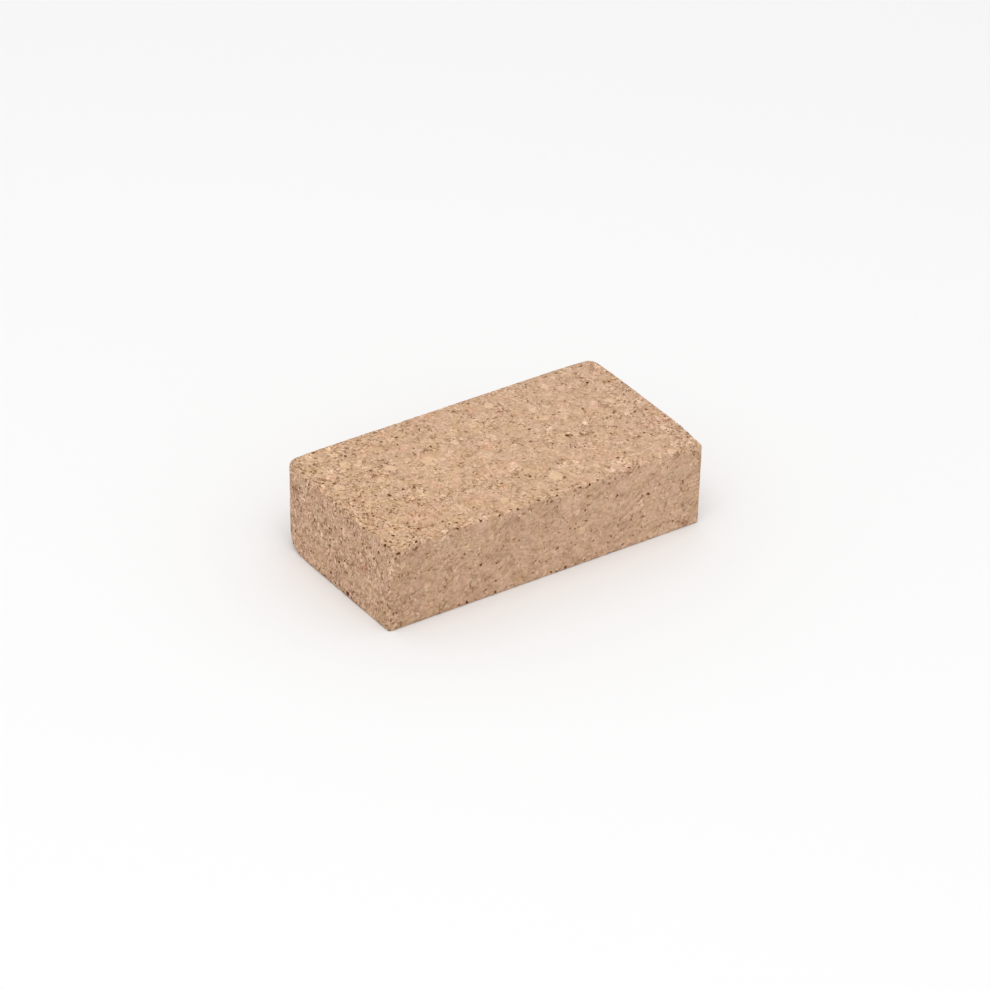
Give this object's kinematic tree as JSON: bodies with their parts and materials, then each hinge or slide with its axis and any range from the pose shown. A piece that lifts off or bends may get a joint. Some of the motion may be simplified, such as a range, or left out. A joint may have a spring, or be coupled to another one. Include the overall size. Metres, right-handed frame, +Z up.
{
  "type": "cork sanding block",
  "caption": "Rectangular hand sanding block of pressed cork granules, with flat faces that back a wrapped sheet of abrasive paper.",
  "frame": {"origin": "centre of the flat sanding face, on the surface that the block lies on", "axes": "+X along the block's length, -X is the left end; -Y is the front long side; +Z up, away from the sanding face"},
  "size_m": [0.12, 0.06, 0.03],
  "materials": {
    "cork": "matte"
  },
  "bodies": {
    "root": {"cork_block": "cork"}
  },
  "joints": []
}
